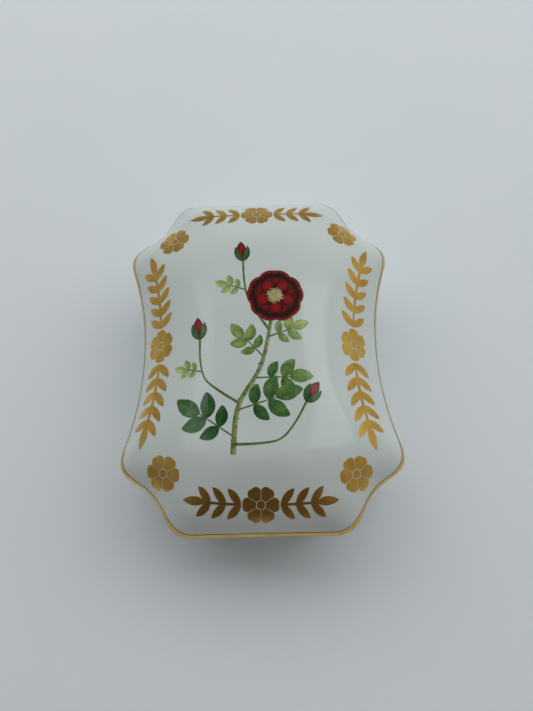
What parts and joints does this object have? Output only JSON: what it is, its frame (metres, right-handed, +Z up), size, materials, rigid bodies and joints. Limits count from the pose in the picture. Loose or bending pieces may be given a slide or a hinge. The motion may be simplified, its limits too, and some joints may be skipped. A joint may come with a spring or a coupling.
{
  "type": "porcelain trinket box",
  "caption": "Oblong glazed porcelain trinket box with hollowed sides, scooped corners and a domed lift-off lid that sits over a raised lip.",
  "frame": {"origin": "middle of the flat face of the foot ring, on the table", "axes": "+X across the width, +Y along the length, +Z up, the way the lid lifts"},
  "size_m": [0.08, 0.1036, 0.0421],
  "materials": {
    "lid_porcelain": "clear gloss glaze on white porcelain, gilded rim, gold and coloured floral print",
    "base_porcelain": "clear gloss glaze on white porcelain, bare fired clay on the ledge and foot ring"
  },
  "bodies": {
    "base": {"base": "base_porcelain"},
    "lid": {"lid": "lid_porcelain"}
  },
  "joints": [
    {"name": "lid_lift", "type": "slide", "parent": "base", "child": "lid", "axis": [0, 0, 1], "range_m": [0, 0.06]}
  ]
}
